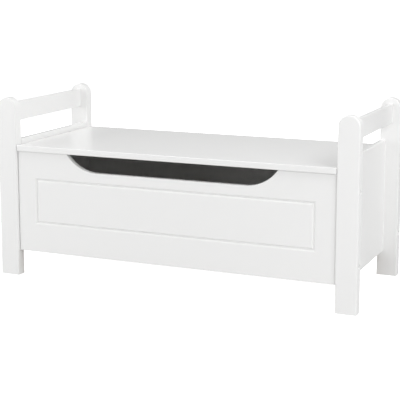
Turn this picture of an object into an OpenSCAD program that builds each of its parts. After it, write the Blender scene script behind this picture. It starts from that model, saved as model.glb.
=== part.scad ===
// Child's storage bench: two end frames, a box between them and a hinged seat lid.
// Origin: on the floor, under the middle of the bench. X runs along the bench,
// the front faces -Y and Z points up.

/* [Overall] */
// Length over the posts
bench_l = 1040; // [900:10:1200]
// Depth over the posts
bench_d = 440; // [380:5:480]
// Height to the tops of the posts
bench_h = 504; // [480:2:560]

/* [End frames] */
// Width of a post, seen from the front
post_w = 57; // [50:1:70]
// Thickness of a post, front to back
post_t = 30; // [28:1:36]
// Radius on the edges of posts, rails and side panels
edge_r = 2.5; // [1:0.5:4]
// Thickness of a rail
rail_t = 12; // [12:1:18]
// Height of a rail
rail_h = 55; // [45:1:60]
// Underside of a rail above the floor
rail_z = 434; // [420:2:440]
// Underside of a side panel above the floor
side_z = 68; // [60:1:72]
// Top edge of a side panel above the floor
side_top = 387; // [380:1:400]

/* [Box] */
// Thickness of the front, back and side panels
board_t = 16; // [15:1:18]
// Underside of the front and back panels above the floor
panel_z = 72; // [66:1:76]
// Top edge of the front and back panels above the floor
panel_top = 355; // [350:1:360]
// Radius where the front panel's face turns in at its ends
panel_end_r = 5; // [2:0.5:6]
// Thickness of the bottom panel
bottom_t = 9; // [6:1:12]
// Side of the square battens under the bottom panel
batten_w = 18; // [15:1:22]

/* [Hand cut-out] */
// Length of the straight bottom edge of the cut-out
cut_l = 432; // [300:2:460]
// Depth of the cut-out below the panel's top edge
cut_depth = 47; // [30:0.5:60]
// Radius of the cut-out's two ends
cut_r = 110; // [80:5:120]
// Radius on the cut-out's two rims
cut_rim_r = 1.5; // [0.5:0.5:4]

/* [Groove rectangle] */
// Distance from the panel's end to the groove's outer edge
groove_end = 55; // [45:1:80]
// Distance from the panel's top edge to the groove's outer edge
groove_top = 72.5; // [65:0.5:90]
// Distance from the panel's bottom edge to the groove's outer edge
groove_bottom = 80; // [60:0.5:90]
// Width of the groove at the panel's face
groove_w = 10; // [6:1:12]
// Depth of the groove
groove_depth = 4; // [3:0.5:6]

/* [Lid] */
// Thickness of the lid
lid_t = 16; // [15:1:20]
// Gap between each end of the lid and the posts
lid_gap = 1.5; // [1:0.5:3]
// Gap between the closed lid and the panels' top edges
lid_seat_gap = 1; // [1:0.5:2]
// Distance from the lid's rear edge to the back plane of the posts
lid_setback = 15; // [14:1:18]
// Radius on the lid's upper edges
lid_edge_r = 1.5; // [1:0.5:5]

/* [Hinges] */
// Number of lid hinges
hinge_count = 3; // [3]
// Distance between neighbouring hinges
hinge_pitch = 340; // [250:10:400]
// Length of a hinge along the lid's edge
hinge_l = 80; // [60:5:100]
// Length of the middle knuckle
knuckle_l = 36; // [24:2:44]
// Radius of the hinge knuckles
knuckle_r = 5; // [4:0.5:5]
// Radius of the hinge pin
pin_r = 2.5; // [2:0.25:2.5]
// Thickness of the hinge leaves
leaf_t = 1.5; // [1:0.1:1.6]
// Width of the lid leaf under the lid
lid_leaf_w = 24; // [20:1:32]

/* [Fasteners] */
// Height of the lower frame bolts above the floor
bolt_low_z = 122; // [115:1:130]
// Height of the upper frame bolts above the floor
bolt_high_z = 312; // [290:1:320]
// Length of a frame bolt under its head
bolt_l = 85; // [80:1:90]
// Distance from the panel's end to the centre of a barrel nut
nut_inset = 33; // [30:1:36]
// Radius of the hole that hides a bolt head
bolt_sink_r = 7; // [5.5:0.25:8]
// Depth of a bolt cap below the post's face
cap_recess = 2.5; // [0.5:0.5:2.5]

/* [Hidden] */

$fn = 48;
skin = 0.01;
over = 1;

// planes and centre lines that several parts share
left = -1;
right = 1;
front = -1;
rear = 1;
inner_x = bench_l / 2 - post_w;
post_x = bench_l / 2 - post_w / 2;
post_y = bench_d / 2 - post_t / 2;
side_x = inner_x + board_t / 2;
facing_y = bench_d / 2 - post_t;
inner_y = post_y - board_t / 2;
outer_y = post_y + board_t / 2;
panel_h = panel_top - panel_z;
panel_face_r = 1.5;

// bottom
batten_top = panel_z + batten_w;
bottom_gap = 1;
batten_gap = 2;

// lid and hinges
lid_z = panel_top + lid_seat_gap;
lid_front = -bench_d / 2;
lid_rear = bench_d / 2 - lid_setback;
lid_l = 2 * (inner_x - lid_gap);
lid_under_r = 1.5;
lid_corner_r = 2;
knuckle_gap = 0.5;
knuckle_behind = 0.4;
knuckle_above = 0.3;
axis_y = lid_rear + knuckle_r + knuckle_behind;
axis_z = panel_top + knuckle_r + knuckle_above;
sleeve_wall = 1;
running_gap = 0.05;
bore_r = pin_r + running_gap + sleeve_wall;
pin_head_r = pin_r + 1;
pin_head_l = 1.2;
leaf_fit = 0.2;
base_leaf_inset = 1.5;
base_leaf_y = inner_y + base_leaf_inset;
hinge_screw_x = 28;
base_screw_inset = 7;
base_screw_y = inner_y + base_screw_inset;
lid_screw_inset = 15;
lid_screw_y = lid_rear - lid_screw_inset;
pad_r = 5;
pad_t = lid_seat_gap - 0.1;
pad_insets = [33, 113];

// fasteners
bolt_r = 3;
bolt_hole_r = 3.5;
bolt_head_r = 5;
bolt_head_h = 6;
socket_r = 2.9;
cap_h = 3;
bolt_sink_depth = cap_recess + cap_h + bolt_head_h;
nut_r = 5;
nut_l = 12;
nut_hole = 13;
nut_slot_w = 1.4;
nut_slot_depth = 1.5;
bolt_run_out = 10;
cap_rim = 0.6;
frame_dowel_z = 217;
frame_dowel_r = 4;
frame_dowel_l = 38;
rail_dowel_r = 3;
rail_dowel_l = 34;
rail_dowel_step = 27;
side_dowel_r = 4;
side_dowel_l = 36;
side_dowel_zs = [98, 240, 357];
dowel_end_gap = 1;
screw_r = 1.5;
screw_head_r = 3.3;
hinge_screw_l = 12;
batten_screw_r = 2;
batten_screw_l = 30;
batten_screw_head_r = 4;
batten_screw_head_h = 2.2;
batten_screw_inset = 63;
batten_screw_pitch = (inner_x - batten_screw_inset) / 2;
side_screw_pitch = 130;
screw_tip_r = 0.3;
cross_w = 0.7;
cross_l = 2.2;

// ---------- shared shapes ----------

// a rectangle about the origin whose corners are arcs
module round_rect(w, h, r) {
    square([w - 2 * r, h], center = true);
    square([w, h - 2 * r], center = true);
    for (sx = [-1, 1], sy = [-1, 1])
        translate([sx * (w / 2 - r), sy * (h / 2 - r)])
            circle(r);
}

// a rectangle from (0, 0) with its own radius at each corner, in the order
// low left, low right, high right, high left; a radius of 0 leaves a sharp corner
module shaped_rect(w, h, radii) {
    corners = [[0, 0], [w, 0], [w, h], [0, h]];
    inward = [[1, 1], [-1, 1], [-1, -1], [1, -1]];
    difference() {
        square([w, h]);
        for (i = [0:3])
            if (radii[i] > 0)
                translate(corners[i])
                    scale(inward[i])
                        difference() {
                            translate([-over, -over])
                                square(radii[i] + over);
                            translate([radii[i], radii[i]])
                                circle(radii[i]);
                        }
    }
}

// a rod along X, centred where it stands
module rod_x(r, l) {
    rotate([0, 90, 0])
        cylinder(h = l, r = r, center = true);
}

// a rod along Y, centred where it stands
module rod_y(r, l) {
    rotate([90, 0, 0])
        cylinder(h = l, r = r, center = true);
}

// a countersunk screw that points down, its flat head at z = 0
module wood_screw(r, head_r, head_h, l) {
    difference() {
        union() {
            translate([0, 0, -head_h])
                cylinder(h = head_h, r1 = r, r2 = head_r);
            translate([0, 0, -l + r])
                cylinder(h = l - r - head_h / 2, r = r);
            translate([0, 0, -l])
                cylinder(h = r, r1 = screw_tip_r, r2 = r);
        }
        for (turn = [0, 90])
            rotate(turn)
                cube([r * cross_l, cross_w, head_h], center = true);
    }
}

// the space that a countersunk screw needs, with its mouth at z = 0
module screw_space(r, head_r, head_h, l) {
    translate([0, 0, -head_h])
        cylinder(h = head_h, r1 = r, r2 = head_r);
    translate([0, 0, -l])
        cylinder(h = l, r = r);
    cylinder(h = over, r = head_r);
}

// ---------- places ----------

// Each of these modules puts its children at every place of one kind, or only
// at the ends and sides that it is given.

// frame bolts, seen from outside the bench
module at_bolts(xs = [left, right], ys = [front, rear]) {
    for (sx = xs, sy = ys, z = [bolt_low_z, bolt_high_z])
        translate([sx * bench_l / 2, sy * post_y, z])
            rotate([0, 0, sx > 0 ? 180 : 0])
                children();
}

// dowels between a post and the end of a long panel
module at_frame_dowels(xs = [left, right], ys = [front, rear]) {
    for (sx = xs, sy = ys)
        translate([sx * inner_x, sy * post_y, frame_dowel_z])
            children();
}

// dowels between a post and a rail
module at_rail_dowels(xs = [left, right], ys = [front, rear]) {
    for (sx = xs, sy = ys, step = [-1, 1])
        translate([sx * post_x, sy * facing_y, rail_z + rail_h / 2 + step * rail_dowel_step / 2])
            children();
}

// dowels between a post and a side panel
module at_side_dowels(xs = [left, right], ys = [front, rear]) {
    for (sx = xs, sy = ys, z = side_dowel_zs)
        translate([sx * side_x, sy * facing_y, z])
            children();
}

// screws through the battens along the front and back panels
module at_long_batten_screws(sy) {
    for (i = [-2:2])
        translate([i * batten_screw_pitch, sy * (inner_y - batten_w), panel_z + batten_w / 2])
            rotate([sy * 90, 0, 0])
                children();
}

// screws through the battens along the side panels
module at_side_batten_screws(sx) {
    for (i = [-1:1])
        translate([sx * (inner_x - batten_w), i * side_screw_pitch, panel_z + batten_w / 2])
            rotate([0, -sx * 90, 0])
                children();
}

module at_hinge(i) {
    translate([(i - (hinge_count - 1) / 2) * hinge_pitch, 0, 0])
        children();
}

module at_hinges() {
    for (i = [0:hinge_count - 1])
        at_hinge(i)
            children();
}

// the screws of one hinge, in the back panel's top edge and under the lid
module at_base_leaf_screws() {
    for (x = [-hinge_screw_x, 0, hinge_screw_x])
        translate([x, base_screw_y, panel_top])
            children();
}

module at_lid_leaf_screws() {
    for (x = [-hinge_screw_x, 0, hinge_screw_x])
        translate([x, lid_screw_y, lid_z])
            rotate([180, 0, 0])
                children();
}

// ---------- dowels and their holes ----------

module frame_dowel(extra = 0) {
    rod_x(frame_dowel_r, frame_dowel_l + extra);
}

module rail_dowel(extra = 0) {
    rod_y(rail_dowel_r, rail_dowel_l + extra);
}

module side_dowel(extra = 0) {
    rod_y(side_dowel_r, side_dowel_l + extra);
}

// a bolt's hole through a post, with the wider hole that hides its head
module bolt_space() {
    rod_x(bolt_sink_r, 2 * bolt_sink_depth);
    rod_x(bolt_hole_r, 2 * (post_w + over));
}

// ---------- end frames ----------

// a post about its own centre line: a plank with a half-round top
module post_blank() {
    shoulder_z = bench_h - post_w / 2;
    linear_extrude(shoulder_z)
        round_rect(post_w, post_t, edge_r);
    translate([0, 0, shoulder_z])
        intersection() {
            rotate([90, 0, 0])
                rotate_extrude($fn = 96)
                    intersection() {
                        round_rect(post_w, post_t, edge_r);
                        translate([0, -post_t])
                            square([post_w, 2 * post_t]);
                    }
            translate([-post_w, -post_t, 0])
                cube([2 * post_w, 2 * post_t, post_w]);
        }
}

module post(sx, sy) {
    color("white")
        difference() {
            translate([sx * post_x, sy * post_y, 0])
                post_blank();
            at_bolts([sx], [sy])
                bolt_space();
            at_frame_dowels([sx], [sy])
                frame_dowel(2 * dowel_end_gap);
            at_rail_dowels([sx], [sy])
                rail_dowel(2 * dowel_end_gap);
            at_side_dowels([sx], [sy])
                side_dowel(2 * dowel_end_gap);
        }
}

// a board on edge between a frame's two posts
module frame_board(x, z, t, h) {
    translate([x, facing_y, z + h / 2])
        rotate([90, 0, 0])
            linear_extrude(2 * facing_y)
                round_rect(t, h, edge_r);
}

module rail(sx) {
    color("white")
        difference() {
            frame_board(sx * post_x, rail_z, rail_t, rail_h);
            at_rail_dowels([sx])
                rail_dowel(2 * dowel_end_gap);
        }
}

module side_panel(sx) {
    color("white")
        difference() {
            frame_board(sx * side_x, side_z, board_t, side_top - side_z);
            at_side_dowels([sx])
                side_dowel(2 * dowel_end_gap);
            at_side_batten_screws(sx)
                batten_screw_space();
        }
}

// ---------- box ----------

// a panel along X between the posts; outer_sy says which way its outer face looks
module long_panel(outer_sy, end_r) {
    radii = outer_sy < 0 ? [end_r, end_r, 0, 0] : [0, 0, end_r, end_r];
    intersection() {
        translate([-inner_x, outer_sy * post_y - board_t / 2, panel_z])
            linear_extrude(panel_h)
                shaped_rect(2 * inner_x, board_t, radii);
        translate([-inner_x, outer_sy * post_y, panel_z + panel_h / 2])
            rotate([90, 0, 90])
                linear_extrude(2 * inner_x)
                    round_rect(board_t, panel_h, panel_face_r);
    }
}

// bolt holes, barrel nut holes and dowel holes in one long panel
module long_panel_holes(sy) {
    for (sx = [left, right], z = [bolt_low_z, bolt_high_z]) {
        translate([sx * inner_x, sy * post_y, z])
            rod_x(bolt_hole_r, 2 * (nut_inset + bolt_run_out));
        translate([sx * (inner_x - nut_inset), sy * inner_y, z])
            rod_y(nut_r, 2 * nut_hole);
    }
    at_frame_dowels(ys = [sy])
        frame_dowel(2 * dowel_end_gap);
}

// the slot's outline, with its lowest edge on y = 0
module cut_outline() {
    for (sx = [left, right])
        translate([sx * cut_l / 2, cut_r])
            circle(cut_r, $fn = 128);
    translate([-cut_l / 2, 0])
        square([cut_l, 2 * cut_r]);
}

// what rounding takes off a square edge that lies on the origin: the corner of
// the quarter x > 0, y > 0 outside a circle
module edge_waste(r) {
    difference() {
        translate([-skin, -skin])
            square(r + skin);
        translate([r, r])
            circle(r);
    }
}

// rounds the slot's rim on a face that looks along -Y, with the slot's lowest
// edge on z = 0
module cut_rim(r) {
    translate([-cut_l / 2, 0, 0])
        rotate([90, 0, 90])
            linear_extrude(cut_l)
                scale([1, -1])
                    edge_waste(r);
    for (sx = [left, right])
        translate([sx * cut_l / 2, 0, cut_r])
            rotate([-90, 0, 0])
                intersection() {
                    rotate_extrude($fn = 128)
                        translate([cut_r, 0])
                            edge_waste(r);
                    translate([sx > 0 ? 0 : -2 * cut_r, 0, -over])
                        cube([2 * cut_r, 2 * cut_r, r + 2 * over]);
                }
}

// a slot with round ends and rounded rims, open through the panel's top edge
module hand_cut() {
    translate([0, 0, panel_top - cut_depth]) {
        translate([0, -inner_y + over, 0])
            rotate([90, 0, 0])
                linear_extrude(board_t + 2 * over)
                    cut_outline();
        translate([0, -outer_y, 0])
            cut_rim(cut_rim_r);
        translate([0, -inner_y, 0])
            mirror([0, 1, 0])
                cut_rim(cut_rim_r);
    }
}

// one side of the groove rectangle, lying along X with its outer edge on y = 0
// and its ends mitred; the V points in +Z
module groove_side(l) {
    intersection() {
        translate([-l / 2, 0, 0])
            rotate([90, 0, 90])
                linear_extrude(l)
                    polygon([
                        [-skin, -over], [groove_w + skin, -over],
                        [groove_w + skin, 0], [groove_w / 2, groove_depth], [-skin, 0]
                    ]);
        translate([0, 0, -2 * over])
            linear_extrude(groove_depth + 3 * over)
                polygon([
                    [-l / 2 - skin, -skin], [l / 2 + skin, -skin],
                    [l / 2 - groove_w, groove_w], [-l / 2 + groove_w, groove_w]
                ]);
    }
}

module groove_rectangle() {
    gl = 2 * (inner_x - groove_end);
    gh = panel_h - groove_top - groove_bottom;
    mid_z = panel_z + groove_bottom + gh / 2;
    translate([0, -outer_y, mid_z])
        rotate([-90, 0, 0])
            for (turn = [0, 180]) {
                rotate(turn)
                    translate([0, -gh / 2, 0])
                        groove_side(gl);
                rotate(turn + 90)
                    translate([0, -gl / 2, 0])
                        groove_side(gh);
            }
}

module front_panel() {
    color("white")
        difference() {
            long_panel(front, panel_end_r);
            hand_cut();
            groove_rectangle();
            long_panel_holes(front);
            at_long_batten_screws(front)
                batten_screw_space();
        }
}

module back_panel() {
    color("white")
        difference() {
            long_panel(rear, panel_face_r);
            long_panel_holes(rear);
            at_long_batten_screws(rear)
                batten_screw_space();
            at_hinges() {
                translate([-hinge_l / 2 - leaf_fit, base_leaf_y - leaf_fit, panel_top - leaf_t])
                    cube([hinge_l + 2 * leaf_fit, board_t, leaf_t + over]);
                at_base_leaf_screws()
                    hinge_screw_space();
            }
        }
}

module bottom_panel() {
    color("white")
        translate([-inner_x + bottom_gap, -inner_y + bottom_gap, batten_top])
            cube([2 * (inner_x - bottom_gap), 2 * (inner_y - bottom_gap), bottom_t]);
}

// battens run along the inner faces of the panels, and stop short of each other
module batten_long(sy) {
    l = 2 * (inner_x - batten_w - batten_gap);
    color("white")
        difference() {
            translate([-l / 2, sy > 0 ? inner_y - batten_w : -inner_y, panel_z])
                cube([l, batten_w, batten_w]);
            at_long_batten_screws(sy)
                batten_screw_space();
        }
}

module batten_side(sx) {
    l = 2 * (inner_y - batten_w - batten_gap);
    color("white")
        difference() {
            translate([sx > 0 ? inner_x - batten_w : -inner_x, -l / 2, panel_z])
                cube([batten_w, l, batten_w]);
            at_side_batten_screws(sx)
                batten_screw_space();
        }
}

module batten_screw_space() {
    screw_space(batten_screw_r, batten_screw_head_r, batten_screw_head_h, batten_screw_l);
}

module batten_screw() {
    wood_screw(batten_screw_r, batten_screw_head_r, batten_screw_head_h, batten_screw_l);
}

module batten_screws() {
    color("silver") {
        for (sy = [front, rear])
            at_long_batten_screws(sy)
                batten_screw();
        for (sx = [left, right])
            at_side_batten_screws(sx)
                batten_screw();
    }
}

// ---------- lid ----------

module lid() {
    lid_d = lid_rear - lid_front;
    color("white")
        difference() {
            intersection() {
                translate([-lid_l / 2, lid_front, lid_z])
                    linear_extrude(lid_t)
                        shaped_rect(lid_l, lid_d, [lid_corner_r, lid_corner_r, lid_corner_r, lid_corner_r]);
                translate([-lid_l / 2, lid_front, lid_z])
                    rotate([90, 0, 90])
                        linear_extrude(lid_l)
                            shaped_rect(lid_d, lid_t, [lid_under_r, lid_under_r, lid_edge_r, lid_edge_r]);
                translate([-lid_l / 2, lid_rear, lid_z])
                    rotate([90, 0, 0])
                        linear_extrude(lid_d)
                            shaped_rect(lid_l, lid_t, [lid_under_r, lid_under_r, lid_under_r, lid_under_r]);
            }
            at_hinges() {
                translate([-hinge_l / 2 - leaf_fit, lid_rear - lid_leaf_w - leaf_fit, lid_z - over])
                    cube([hinge_l + 2 * leaf_fit, lid_leaf_w + board_t, leaf_t + over]);
                at_lid_leaf_screws()
                    hinge_screw_space();
            }
        }
}

// thin soft pads that the front of the closed lid comes down on
module lid_pads() {
    color("gainsboro")
        for (sx = [left, right], inset = pad_insets)
            translate([sx * (inner_x - inset), -post_y, panel_top])
                cylinder(h = pad_t, r = pad_r);
}

// ---------- hinges ----------

module hinge_screw() {
    wood_screw(screw_r, screw_head_r, leaf_t, hinge_screw_l);
}

module hinge_screw_space() {
    screw_space(screw_r, screw_head_r, leaf_t, hinge_screw_l);
}

// the leaf on the back panel's top edge, with the middle knuckle
module base_leaf(i) {
    color("silver")
        at_hinge(i)
            difference() {
                union() {
                    translate([-hinge_l / 2, base_leaf_y, panel_top - leaf_t])
                        cube([hinge_l, outer_y - base_leaf_y, leaf_t]);
                    translate([-knuckle_l / 2, axis_y - pin_r, panel_top - leaf_t])
                        cube([knuckle_l, outer_y - axis_y + pin_r, knuckle_r]);
                    translate([0, axis_y, axis_z])
                        rod_x(knuckle_r, knuckle_l);
                }
                translate([0, axis_y, axis_z])
                    rod_x(bore_r, hinge_l);
                at_base_leaf_screws()
                    hinge_screw_space();
            }
}

// the leaf under the lid, with the two outer knuckles
module lid_leaf(i) {
    outer_l = (hinge_l - knuckle_l) / 2 - knuckle_gap;
    color("silver")
        at_hinge(i)
            difference() {
                union() {
                    translate([-hinge_l / 2, lid_rear - lid_leaf_w, lid_z])
                        cube([hinge_l, axis_y - lid_rear + lid_leaf_w, leaf_t]);
                    for (sx = [left, right])
                        translate([sx * (hinge_l - outer_l) / 2, axis_y, axis_z])
                            rod_x(knuckle_r, outer_l);
                }
                translate([-knuckle_l / 2 - knuckle_gap, lid_rear - knuckle_gap, lid_z - over])
                    cube([knuckle_l + 2 * knuckle_gap, lid_leaf_w, 2 * knuckle_r + over]);
                translate([0, axis_y, axis_z])
                    rod_x(pin_r, 2 * hinge_l);
                at_lid_leaf_screws()
                    hinge_screw_space();
            }
}

module hinge_pin(i) {
    color("silver")
        at_hinge(i)
            translate([0, axis_y, axis_z]) {
                rod_x(pin_r, hinge_l);
                for (sx = [left, right])
                    translate([sx * (hinge_l + pin_head_l) / 2, 0, 0])
                        rod_x(pin_head_r, pin_head_l);
            }
}

// the lining that grips the pin and holds the lid where it is let go of
module hinge_sleeve(i) {
    color("dimgray")
        at_hinge(i)
            translate([0, axis_y, axis_z])
                difference() {
                    rod_x(bore_r, knuckle_l);
                    rod_x(pin_r + running_gap, 2 * knuckle_l);
                }
}

module hinge_base_screws() {
    color("silver")
        at_hinges()
            at_base_leaf_screws()
                hinge_screw();
}

module hinge_lid_screws() {
    color("silver")
        at_hinges()
            at_lid_leaf_screws()
                hinge_screw();
}

// ---------- frame fasteners ----------

module frame_bolts() {
    head_x = cap_recess + cap_h;
    color("silver")
        at_bolts()
            difference() {
                union() {
                    translate([head_x + bolt_head_h / 2, 0, 0])
                        rod_x(bolt_head_r, bolt_head_h);
                    translate([head_x + bolt_head_h + bolt_l / 2, 0, 0])
                        rod_x(bolt_r, bolt_l);
                }
                translate([head_x, 0, 0])
                    rotate([0, 90, 0])
                        cylinder(h = bolt_head_h, r = socket_r, center = true, $fn = 6);
            }
}

module barrel_nuts() {
    color("silver")
        for (sx = [left, right], sy = [front, rear], z = [bolt_low_z, bolt_high_z])
            translate([sx * (inner_x - nut_inset), sy * inner_y, z])
                scale([1, sy, 1])
                    difference() {
                        translate([0, nut_hole - nut_l / 2, 0])
                            rod_y(nut_r, nut_l);
                        translate([0, board_t / 2, 0])
                            rod_x(bolt_r, 3 * nut_r);
                        translate([0, nut_hole - nut_l, 0])
                            cube([nut_slot_w, 2 * nut_slot_depth, 3 * nut_r], center = true);
                    }
}

module bolt_caps() {
    color("white")
        at_bolts()
            translate([cap_recess, 0, 0])
                rotate([0, 90, 0]) {
                    cylinder(h = cap_rim, r1 = bolt_sink_r - cap_rim, r2 = bolt_sink_r);
                    translate([0, 0, cap_rim])
                        cylinder(h = cap_h - cap_rim, r = bolt_sink_r);
                }
}

module frame_dowels() {
    color("burlywood")
        at_frame_dowels()
            frame_dowel();
}

module rail_dowels() {
    color("burlywood")
        at_rail_dowels()
            rail_dowel();
}

module side_dowels() {
    color("burlywood")
        at_side_dowels()
            side_dowel();
}

post(left, front);  // post_front_left
post(right, front);  // post_front_right
post(left, rear);  // post_rear_left
post(right, rear);  // post_rear_right
rail(left);  // rail_left
rail(right);  // rail_right
side_panel(left);  // side_panel_left
side_panel(right);  // side_panel_right
front_panel();
back_panel();
bottom_panel();
batten_long(front);  // batten_front
batten_long(rear);  // batten_rear
batten_side(left);  // batten_left
batten_side(right);  // batten_right
lid();
lid_pads();
base_leaf(0);  // hinge_left_base_leaf
lid_leaf(0);  // hinge_left_lid_leaf
hinge_pin(0);  // hinge_left_pin
hinge_sleeve(0);  // hinge_left_sleeve
base_leaf(1);  // hinge_middle_base_leaf
lid_leaf(1);  // hinge_middle_lid_leaf
hinge_pin(1);  // hinge_middle_pin
hinge_sleeve(1);  // hinge_middle_sleeve
base_leaf(2);  // hinge_right_base_leaf
lid_leaf(2);  // hinge_right_lid_leaf
hinge_pin(2);  // hinge_right_pin
hinge_sleeve(2);  // hinge_right_sleeve
hinge_base_screws();
hinge_lid_screws();
frame_bolts();
barrel_nuts();
bolt_caps();
frame_dowels();
rail_dowels();
side_dowels();
batten_screws();
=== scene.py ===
import math

import bmesh
import bpy
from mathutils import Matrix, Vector


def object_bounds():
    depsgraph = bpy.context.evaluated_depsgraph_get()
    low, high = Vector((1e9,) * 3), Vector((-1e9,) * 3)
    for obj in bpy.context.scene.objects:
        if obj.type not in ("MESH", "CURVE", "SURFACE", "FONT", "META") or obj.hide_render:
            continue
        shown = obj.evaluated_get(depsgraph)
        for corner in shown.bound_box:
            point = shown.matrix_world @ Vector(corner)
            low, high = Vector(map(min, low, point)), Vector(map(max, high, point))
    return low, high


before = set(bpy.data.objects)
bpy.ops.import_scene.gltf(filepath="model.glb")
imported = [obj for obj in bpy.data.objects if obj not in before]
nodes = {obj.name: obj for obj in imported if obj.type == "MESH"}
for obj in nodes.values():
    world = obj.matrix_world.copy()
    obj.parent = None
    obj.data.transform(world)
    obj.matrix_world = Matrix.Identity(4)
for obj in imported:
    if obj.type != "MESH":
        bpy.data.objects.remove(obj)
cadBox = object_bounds()
boxLow, boxHigh = cadBox
middle = (boxLow + boxHigh) / 2
scene = bpy.context.scene
print("bench loaded:", len(nodes), "parts")


# Camera

cameraLook = {
    "fromMiddle": (1.2659, -2.9306, 0.6136),  # metres, from the middle of the bench
    "turn": 23.366,  # degrees to the left of straight on
    "tilt": 9.174,  # degrees down
    "lens": 103.97,
    "sensor": 36,
    "rise": -0.12,  # lens shift that keeps the posts close to upright
    "nearest": 0.1,  # metres; nothing closer or further than these two is drawn
    "furthest": 200,
}


def makeCamera():
    data = bpy.data.cameras.new("benchCamera")
    data.sensor_width = cameraLook["sensor"]
    data.lens = cameraLook["lens"]
    data.shift_y = cameraLook["rise"]
    data.clip_start = cameraLook["nearest"]
    data.clip_end = cameraLook["furthest"]
    camera = bpy.data.objects.new("benchCamera", data)
    camera.location = middle + Vector(cameraLook["fromMiddle"])
    camera.rotation_euler = (
        math.radians(90 - cameraLook["tilt"]),
        0,
        math.radians(cameraLook["turn"]),
    )
    scene.collection.objects.link(camera)
    scene.camera = camera


makeCamera()
print("camera set")


# Shader helpers


def put(tree, kind, inputs=None, **settings):
    node = tree.nodes.new(kind)
    for name, value in settings.items():
        setattr(node, name, value)
    for name, value in (inputs or {}).items():
        join(tree, value, node.inputs[name])
    return node


def join(tree, value, socket):
    if isinstance(value, bpy.types.NodeSocket):
        tree.links.new(value, socket)
    else:
        socket.default_value = value


def newGroup(name, inputs, outputs):
    tree = bpy.data.node_groups.new(name, "ShaderNodeTree")
    for label, kind, value in inputs:
        socket = tree.interface.new_socket(
            label, in_out="INPUT", socket_type="NodeSocket" + kind
        )
        socket.default_value = value
    for label, kind in outputs:
        tree.interface.new_socket(
            label, in_out="OUTPUT", socket_type="NodeSocket" + kind
        )
    given = tree.nodes.new("NodeGroupInput").outputs
    out = tree.nodes.new("NodeGroupOutput").inputs
    return tree, given, out


def sums(tree, kind, first, second, third=0.0):
    return put(
        tree, "ShaderNodeMath", {0: first, 1: second, 2: third}, operation=kind
    ).outputs[0]


def spread(tree, value, low, high, newLow=0.0, newHigh=1.0):
    return put(
        tree,
        "ShaderNodeMapRange",
        {"Value": value, "From Min": low, "From Max": high, "To Min": newLow, "To Max": newHigh},
    ).outputs[0]


def blendColor(tree, factor, first, second):  # a Mix node's sockets share names, so they go by number
    factorIn, firstIn, secondIn, colorOut = 0, 6, 7, 2
    node = put(tree, "ShaderNodeMix", data_type="RGBA")
    join(tree, factor, node.inputs[factorIn])
    join(tree, first, node.inputs[firstIn])
    join(tree, second, node.inputs[secondIn])
    return node.outputs[colorOut]


def useGroup(tree, group, values):
    node = tree.nodes.new("ShaderNodeGroup")
    node.node_tree = group
    for name, value in values.items():
        join(tree, value, node.inputs[name])
    return node.outputs


def newMaterial(name, **plain):
    material = bpy.data.materials.new(name)
    material.use_nodes = True
    shader = material.node_tree.nodes["Principled BSDF"]
    for label, value in plain.items():
        shader.inputs[label].default_value = value
    return material, material.node_tree, shader


def addBump(tree, shader, height, distance):
    bump = put(tree, "ShaderNodeBump", {"Height": height, "Distance": distance, "Strength": 1.0})
    tree.links.new(bump.outputs["Normal"], shader.inputs["Normal"])


# Shared surface effects


def makeEdgeGroup():  # finds rounded and sharp edges on any mesh
    tree, given, out = newGroup(
        "edgeTouch",
        [("Reach", "Float", 0.002), ("Softness", "Float", 0.25)],
        [("Mask", "Float")],
    )
    rounded = put(tree, "ShaderNodeBevel", {"Radius": given["Reach"]}, samples=6)
    flat = put(tree, "ShaderNodeNewGeometry")
    match = put(
        tree,
        "ShaderNodeVectorMath",
        {0: rounded.outputs[0], 1: flat.outputs["Normal"]},
        operation="DOT_PRODUCT",
    ).outputs["Value"]
    bend = sums(tree, "SUBTRACT", 1.0, match)
    mask = put(
        tree,
        "ShaderNodeMapRange",
        {"Value": bend, "From Min": 0.02, "From Max": given["Softness"]},
    ).outputs[0]
    join(tree, mask, out["Mask"])
    return tree


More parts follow.
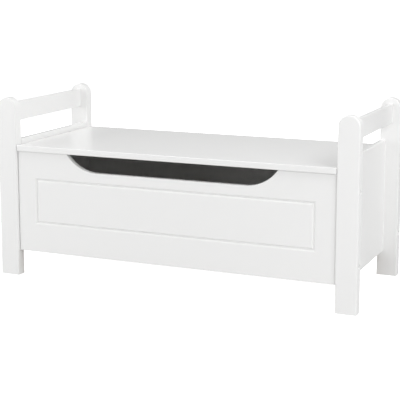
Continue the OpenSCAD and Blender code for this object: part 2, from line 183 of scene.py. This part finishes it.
def makePaintGroup():  # sprayed satin lacquer over a sanded board
    tree, given, out = newGroup(
        "satinLacquer",
        [
            ("Paint", "Color", (0.86, 0.86, 0.85, 1)),
            ("Thin Paint And Edge Shade", "Color", (0.8, 0.79, 0.77, 1)),
            ("Cloud Size", "Float", 4.0),
            ("Cloud", "Float", 0.3),
            ("Peel Size", "Float", 420.0),
            ("Fibre Stretch", "Vector", (1, 1, 1)),
            ("Fibre", "Float", 0.2),
            ("Edge", "Float", 0.0),
            ("Gloss", "Float", 0.3),
            ("Gloss Drift", "Float", 0.06),
        ],
        [("Color", "Color"), ("Roughness", "Float"), ("Height", "Float")],
    )
    place = put(tree, "ShaderNodeTexCoord").outputs["Object"]
    cloud = put(
        tree,
        "ShaderNodeTexNoise",
        {"Vector": place, "Scale": given["Cloud Size"], "Detail": 3.0, "Roughness": 0.55},
    ).outputs["Fac"]
    cloudPart = sums(tree, "MULTIPLY", spread(tree, cloud, 0.3, 0.72), given["Cloud"])
    # Cloudy patches and edges blend toward the darker thin-paint tone; at the edges this is partly
    # thin paint and partly painted shade standing in for the dark lines along rounded edges
    tintAndEdgeShade = sums(tree, "MAXIMUM", cloudPart, given["Edge"])
    join(tree, blendColor(tree, tintAndEdgeShade, given["Paint"], given["Thin Paint And Edge Shade"]), out["Color"])

    peel = put(
        tree,
        "ShaderNodeTexNoise",
        {"Vector": place, "Scale": given["Peel Size"], "Detail": 1.0, "Roughness": 0.35},
    ).outputs["Fac"]
    drawn = put(
        tree,
        "ShaderNodeVectorMath",
        {0: place, 1: given["Fibre Stretch"]},
        operation="MULTIPLY",
    ).outputs[0]
    fibre = put(
        tree,
        "ShaderNodeTexNoise",
        {"Vector": drawn, "Scale": 190.0, "Detail": 4.0, "Roughness": 0.6},
    ).outputs["Fac"]
    fibrePart = sums(tree, "MULTIPLY", fibre, given["Fibre"])
    join(tree, sums(tree, "ADD", peel, fibrePart), out["Height"])

    smear = put(
        tree,
        "ShaderNodeTexNoise",
        {"Vector": drawn, "Scale": 11.0, "Detail": 5.0, "Roughness": 0.6},
    ).outputs["Fac"]
    drift = sums(tree, "MULTIPLY", sums(tree, "SUBTRACT", smear, 0.5), given["Gloss Drift"])
    join(tree, sums(tree, "ADD", given["Gloss"], drift), out["Roughness"])
    return tree


def makeWoodGroup():  # planed wood, with the grain along the axis of the smallest stretch
    tree, given, out = newGroup(
        "planedWood",
        [
            ("Early Wood", "Color", (0.72, 0.5, 0.28, 1)),
            ("Late Wood", "Color", (0.5, 0.29, 0.13, 1)),
            ("Stretch", "Vector", (1, 14, 14)),
            ("Ring Size", "Float", 9.0),
            ("Pore", "Float", 0.4),
        ],
        [("Color", "Color"), ("Roughness", "Float"), ("Height", "Float")],
    )
    place = put(tree, "ShaderNodeTexCoord").outputs["Object"]
    drawn = put(
        tree, "ShaderNodeVectorMath", {0: place, 1: given["Stretch"]}, operation="MULTIPLY"
    ).outputs[0]
    wander = put(
        tree, "ShaderNodeTexNoise", {"Vector": drawn, "Scale": 2.2, "Detail": 3.0}
    ).outputs["Color"]
    wanderShare = (0.5, 0.5, 0.5)
    bent = put(
        tree,
        "ShaderNodeVectorMath",
        {0: wander, 1: wanderShare, 2: drawn},
        operation="MULTIPLY_ADD",
    ).outputs[0]
    rings = put(
        tree,
        "ShaderNodeTexWave",
        {
            "Vector": bent,
            "Scale": given["Ring Size"],
            "Distortion": 2.4,
            "Detail": 3.0,
            "Detail Scale": 1.4,
        },
        wave_type="RINGS",
        rings_direction="SPHERICAL",
        wave_profile="SAW",
    ).outputs["Fac"]
    fibre = put(
        tree,
        "ShaderNodeTexNoise",
        {"Vector": drawn, "Scale": 46.0, "Detail": 6.0, "Roughness": 0.7},
    ).outputs["Fac"]
    ringShare = 0.7
    pores = sums(tree, "MULTIPLY", fibre, given["Pore"])
    grain = sums(tree, "MULTIPLY_ADD", rings, ringShare, pores)
    join(
        tree,
        blendColor(tree, spread(tree, grain, 0.15, 0.95), given["Early Wood"], given["Late Wood"]),
        out["Color"],
    )
    join(tree, spread(tree, fibre, 0.2, 0.8, 0.52, 0.72), out["Roughness"])
    join(tree, grain, out["Height"])
    return tree


def makeMetalGroup():  # zinc plate with fine drawn lines and dull patches
    tree, given, out = newGroup(
        "zincPlate",
        [
            ("Bright", "Color", (0.72, 0.72, 0.71, 1)),
            ("Dull", "Color", (0.5, 0.5, 0.5, 1)),
            ("Line Stretch", "Vector", (1, 40, 40)),
            ("Edge", "Float", 0.0),
        ],
        [("Color", "Color"), ("Roughness", "Float"), ("Height", "Float")],
    )
    place = put(tree, "ShaderNodeTexCoord").outputs["Object"]
    drawn = put(
        tree, "ShaderNodeVectorMath", {0: place, 1: given["Line Stretch"]}, operation="MULTIPLY"
    ).outputs[0]
    lines = put(
        tree,
        "ShaderNodeTexNoise",
        {"Vector": drawn, "Scale": 60.0, "Detail": 4.0, "Roughness": 0.65},
    ).outputs["Fac"]
    patches = put(
        tree, "ShaderNodeTexVoronoi", {"Vector": place, "Scale": 260.0, "Randomness": 1.0}
    ).outputs["Distance"]
    patchShare = 0.55
    lineShare = 0.5
    edgeShare = 0.5
    dull = sums(tree, "MULTIPLY_ADD", patches, patchShare, sums(tree, "MULTIPLY", lines, lineShare))
    worn = sums(tree, "SUBTRACT", dull, sums(tree, "MULTIPLY", given["Edge"], edgeShare))
    join(
        tree,
        blendColor(tree, spread(tree, worn, 0.1, 0.85), given["Bright"], given["Dull"]),
        out["Color"],
    )
    join(tree, spread(tree, dull, 0.1, 0.9, 0.26, 0.46), out["Roughness"])
    join(tree, lines, out["Height"])
    return tree


def makeGrainGroup():  # moulded plastic, rubber and felt
    tree, given, out = newGroup(
        "mouldedGrain",
        [
            ("Shade", "Color", (0.8, 0.8, 0.8, 1)),
            ("Deep Shade", "Color", (0.7, 0.7, 0.7, 1)),
            ("Grain Size", "Float", 900.0),
            ("Roughness Low", "Float", 0.4),
            ("Roughness High", "Float", 0.6),
        ],
        [("Color", "Color"), ("Roughness", "Float"), ("Height", "Float")],
    )
    place = put(tree, "ShaderNodeTexCoord").outputs["Object"]
    grain = put(
        tree,
        "ShaderNodeTexNoise",
        {"Vector": place, "Scale": given["Grain Size"], "Detail": 3.0, "Roughness": 0.6},
    ).outputs["Fac"]
    cloud = put(
        tree, "ShaderNodeTexNoise", {"Vector": place, "Scale": 35.0, "Detail": 2.0}
    ).outputs["Fac"]
    grainShare = 0.5
    cloudShare = 0.5
    tone = sums(tree, "MULTIPLY_ADD", grain, grainShare, sums(tree, "MULTIPLY", cloud, cloudShare))
    join(
        tree,
        blendColor(tree, spread(tree, tone, 0.3, 0.7), given["Shade"], given["Deep Shade"]),
        out["Color"],
    )
    rough = put(
        tree,
        "ShaderNodeMapRange",
        {
            "Value": grain,
            "From Min": 0.25,
            "From Max": 0.75,
            "To Min": given["Roughness Low"],
            "To Max": given["Roughness High"],
        },
    ).outputs[0]
    join(tree, rough, out["Roughness"])
    join(tree, grain, out["Height"])
    return tree


edgeTouch = makeEdgeGroup()
satinLacquer = makePaintGroup()
planedWood = makeWoodGroup()
zincPlate = makeMetalGroup()
mouldedGrain = makeGrainGroup()
print("surface effects ready")


# Paint on posts, rails and panels

# edge: how far the edges blend toward the darker tone, partly thin paint and partly painted shade
paintLook = {
    "post_paint": {
        "paint": (0.9, 0.9, 0.895, 1),
        "thinPaintAndEdgeShade": (0.83, 0.825, 0.81, 1),
        "cloudSize": 5.0,
        "cloud": 0.05,
        "peelSize": 330.0,
        "fibreStretch": (1, 1, 0.06),
        "fibre": 0.4,
        "edge": 0.3,
        "gloss": 0.3,
        "glossDrift": 0.02,
        "relief": 0.000005,
    },
    "rail_paint": {
        "paint": (0.895, 0.895, 0.89, 1),
        "thinPaintAndEdgeShade": (0.83, 0.825, 0.81, 1),
        "cloudSize": 6.0,
        "cloud": 0.05,
        "peelSize": 330.0,
        "fibreStretch": (1, 0.06, 1),
        "fibre": 0.4,
        "edge": 0.3,
        "gloss": 0.3,
        "glossDrift": 0.02,
        "relief": 0.000005,
    },
    "panel_paint": {
        "paint": (0.9, 0.9, 0.895, 1),
        "thinPaintAndEdgeShade": (0.84, 0.835, 0.82, 1),
        "cloudSize": 2.6,
        "cloud": 0.05,
        "peelSize": 300.0,
        "fibreStretch": (1, 1, 1),
        "fibre": 0.15,
        "edge": 0.25,
        "gloss": 0.27,
        "glossDrift": 0.012,
        "relief": 0.000004,
    },
    "bottom_board": {
        "paint": (0.8, 0.765, 0.7, 1),
        "thinPaintAndEdgeShade": (0.7, 0.65, 0.57, 1),
        "cloudSize": 7.0,
        "cloud": 0.35,
        "peelSize": 700.0,
        "fibreStretch": (0.25, 1, 1),
        "fibre": 0.8,
        "edge": 0.6,
        "gloss": 0.42,
        "glossDrift": 0.16,
        "relief": 0.00005,
    },
}


def makePaint(name):
    look = paintLook[name]
    material, tree, shader = newMaterial(name, IOR=1.5)
    edge = useGroup(tree, edgeTouch, {"Reach": 0.003, "Softness": 0.3})["Mask"]
    skin = useGroup(
        tree,
        satinLacquer,
        {
            "Paint": look["paint"],
            "Thin Paint And Edge Shade": look["thinPaintAndEdgeShade"],
            "Cloud Size": look["cloudSize"],
            "Cloud": look["cloud"],
            "Peel Size": look["peelSize"],
            "Fibre Stretch": look["fibreStretch"],
            "Fibre": look["fibre"],
            # The edge mask darkens the paint along edges: partly thin paint, partly painted shade
            "Edge": sums(tree, "MULTIPLY", edge, look["edge"]),
            "Gloss": look["gloss"],
            "Gloss Drift": look["glossDrift"],
        },
    )
    join(tree, skin["Color"], shader.inputs["Base Color"])
    join(tree, skin["Roughness"], shader.inputs["Roughness"])
    addBump(tree, shader, skin["Height"], look["relief"])
    return material


# Bare wood

woodLook = {
    "batten_wood": {
        "earlyWood": (0.74, 0.55, 0.32, 1),
        "lateWood": (0.56, 0.34, 0.16, 1),
        "stretch": (0.35, 5, 5),
        "ringSize": 6.0,
        "pore": 0.5,
        "relief": 0.00015,
    },
    "dowel_wood": {
        "earlyWood": (0.69, 0.5, 0.3, 1),
        "lateWood": (0.55, 0.36, 0.2, 1),
        "stretch": (3, 3, 5),
        "ringSize": 12.0,
        "pore": 0.8,
        "relief": 0.0001,
    },
}


def makeWood(name):
    look = woodLook[name]
    material, tree, shader = newMaterial(name, IOR=1.45)
    wood = useGroup(
        tree,
        planedWood,
        {
            "Early Wood": look["earlyWood"],
            "Late Wood": look["lateWood"],
            "Stretch": look["stretch"],
            "Ring Size": look["ringSize"],
            "Pore": look["pore"],
        },
    )
    join(tree, wood["Color"], shader.inputs["Base Color"])
    join(tree, wood["Roughness"], shader.inputs["Roughness"])
    addBump(tree, shader, wood["Height"], look["relief"])
    return material


# Hinges, screws, bolts and nuts

metalLook = {
    "hinge_steel": {
        "bright": (0.74, 0.74, 0.72, 1),
        "dull": (0.52, 0.52, 0.51, 1),
        "lineStretch": (0.6, 30, 30),
        "relief": 0.00004,
    },
    "fastener_steel": {
        "bright": (0.68, 0.68, 0.66, 1),
        "dull": (0.42, 0.42, 0.42, 1),
        "lineStretch": (8, 8, 8),
        "relief": 0.00005,
    },
}


def makeMetal(name):
    look = metalLook[name]
    material, tree, shader = newMaterial(name, Metallic=1.0)
    edge = useGroup(tree, edgeTouch, {"Reach": 0.0006, "Softness": 0.3})["Mask"]
    plate = useGroup(
        tree,
        zincPlate,
        {
            "Bright": look["bright"],
            "Dull": look["dull"],
            "Line Stretch": look["lineStretch"],
            "Edge": edge,
        },
    )
    join(tree, plate["Color"], shader.inputs["Base Color"])
    join(tree, plate["Roughness"], shader.inputs["Roughness"])
    addBump(tree, shader, plate["Height"], look["relief"])
    return material


# Bolt caps, lid pads and hinge linings

mouldLook = {
    "cap_plastic": {
        "shade": (0.87, 0.87, 0.865, 1),
        "deepShade": (0.81, 0.81, 0.8, 1),
        "grainSize": 1100.0,
        "roughness": (0.3, 0.45),
        "relief": 0.00004,
    },
    "soft_pad": {
        "shade": (0.62, 0.61, 0.59, 1),
        "deepShade": (0.45, 0.44, 0.42, 1),
        "grainSize": 1500.0,
        "roughness": (0.8, 0.98),
        "relief": 0.0002,
    },
    "friction_sleeve": {
        "shade": (0.05, 0.05, 0.052, 1),
        "deepShade": (0.028, 0.028, 0.03, 1),
        "grainSize": 1200.0,
        "roughness": (0.4, 0.6),
        "relief": 0.00005,
    },
}


def makeMoulded(name):
    look = mouldLook[name]
    material, tree, shader = newMaterial(name, IOR=1.5)
    grain = useGroup(
        tree,
        mouldedGrain,
        {
            "Shade": look["shade"],
            "Deep Shade": look["deepShade"],
            "Grain Size": look["grainSize"],
            "Roughness Low": look["roughness"][0],
            "Roughness High": look["roughness"][1],
        },
    )
    join(tree, grain["Color"], shader.inputs["Base Color"])
    join(tree, grain["Roughness"], shader.inputs["Roughness"])
    addBump(tree, shader, grain["Height"], look["relief"])
    return material


materials = {name: makePaint(name) for name in paintLook}
materials.update({name: makeWood(name) for name in woodLook})
materials.update({name: makeMetal(name) for name in metalLook})
materials.update({name: makeMoulded(name) for name in mouldLook})

finishOf = {  # how each part's name starts, and its finish
    "post_": "post_paint",
    "rail_left": "rail_paint",
    "rail_right": "rail_paint",
    "side_panel": "panel_paint",
    "front_panel": "panel_paint",
    "back_panel": "panel_paint",
    "bottom_panel": "bottom_board",
    "batten_": "batten_wood",
    "batten_screws": "fastener_steel",
    "lid": "panel_paint",
    "lid_pads": "soft_pad",
    "hinge_": "hinge_steel",
    "hinge_left_sleeve": "friction_sleeve",
    "hinge_middle_sleeve": "friction_sleeve",
    "hinge_right_sleeve": "friction_sleeve",
    "hinge_base_screws": "fastener_steel",
    "hinge_lid_screws": "fastener_steel",
    "frame_bolts": "fastener_steel",
    "barrel_nuts": "fastener_steel",
    "bolt_caps": "cap_plastic",
    "frame_dowels": "dowel_wood",
    "rail_dowels": "dowel_wood",
    "side_dowels": "dowel_wood",
}


def paintParts():
    for name, part in nodes.items():
        start = max((s for s in finishOf if name.startswith(s)), key=len)
        part.data.materials.clear()
        part.data.materials.append(materials[finishOf[start]])


paintParts()
print("materials on", len(nodes), "parts")


# Floor, lights and sky

stageLook = {
    "radius": 45.0,
    "color": (0.6, 0.6, 0.6, 1),
    "glow": 1.0,  # the floor's own light, as the camera sees it
    "bounce": 0.11,  # the floor's own light, as it falls on the bench
    "sky": 0.392,  # the sky's strength as a light
    "skySeen": 1.05,  # the sky's strength, as the camera sees it
    "segments": 96,
}

lights = {  # metres from the middle of the bench, size in metres, watts
    "frontLeftBox": {"place": (-2.2, -3.0, 0.8), "size": (1.6, 1.6), "power": 14.3},
    "rightBox": {"place": (2.6, -1.9, 0.7), "size": (1.4, 1.4), "power": 14.7},
    "nearRightBox": {"place": (1.3, -1.2, 0.9), "size": (0.8, 0.8), "power": 3.8},
    "nearLeftBox": {"place": (-1.4, -1.3, 0.6), "size": (0.9, 0.9), "power": 4.0},
    "leftBox": {"place": (-3.0, -1.0, 1.2), "size": (1.8, 1.8), "power": 12.8},
    "topBox": {"place": (0.0, -0.4, 3.0), "size": (3.0, 2.4), "power": 34.7},
    "topRightBox": {"place": (2.2, -0.6, 2.4), "size": (1.6, 1.6), "power": 27.1},
    "backBox": {  # lights the rear without showing as a mirror image in the paint
        "place": (0.0, 3.2, -0.05),
        "size": (2.4, 0.3),
        "power": 26.0,
        "mirrored": False,
    },
}


def makeFloor():
    bm = bmesh.new()
    bmesh.ops.create_circle(
        bm,
        cap_ends=True,
        radius=stageLook["radius"],
        segments=stageLook["segments"],
    )
    bmesh.ops.translate(bm, verts=bm.verts, vec=(0, 0, boxLow.z))
    mesh = bpy.data.meshes.new("paleFloor")
    bm.to_mesh(mesh)
    bm.free()
    floor = bpy.data.objects.new("paleFloor", mesh)
    scene.collection.objects.link(floor)
    material, tree, shader = newMaterial("palePaper")
    place = put(tree, "ShaderNodeTexCoord").outputs["Object"]
    tooth = put(tree, "ShaderNodeTexNoise", {"Vector": place, "Scale": 300.0}).outputs["Fac"]
    shader.inputs["Base Color"].default_value = stageLook["color"]
    shader.inputs["Emission Color"].default_value = (1, 1, 1, 1)
    rays = put(tree, "ShaderNodeLightPath").outputs["Is Camera Ray"]
    glow = spread(tree, rays, 0, 1, stageLook["bounce"], stageLook["glow"])
    join(tree, glow, shader.inputs["Emission Strength"])
    shader.inputs["Specular IOR Level"].default_value = 0.0
    join(tree, spread(tree, tooth, 0.0, 1.0, 0.85, 1.0), shader.inputs["Roughness"])
    mesh.materials.append(material)


def makeSky():
    world = bpy.data.worlds.new("studioSky")
    world.use_nodes = True
    tree = world.node_tree
    tree.nodes.clear()
    rays = put(tree, "ShaderNodeLightPath")
    strength = spread(
        tree, rays.outputs["Is Camera Ray"], 0, 1, stageLook["sky"], stageLook["skySeen"]
    )
    light = put(tree, "ShaderNodeBackground", {"Color": (1, 1, 1, 1), "Strength": strength})
    end = put(tree, "ShaderNodeOutputWorld")
    tree.links.new(light.outputs[0], end.inputs["Surface"])
    scene.world = world


def makeLights():
    for name, box in lights.items():
        data = bpy.data.lights.new(name, "AREA")
        data.shape = "RECTANGLE"
        data.size, data.size_y = box["size"]
        data.energy = box["power"]
        light = bpy.data.objects.new(name, data)
        light.location = middle + Vector(box["place"])
        inward = -Vector(box["place"])
        light.rotation_euler = inward.to_track_quat("-Z", "Y").to_euler()
        light.visible_camera = False
        light.visible_glossy = box.get("mirrored", True)
        scene.collection.objects.link(light)


makeFloor()
makeSky()
makeLights()
scene.view_settings.view_transform = "Standard"
scene.view_settings.look = "None"
print("stage lit")
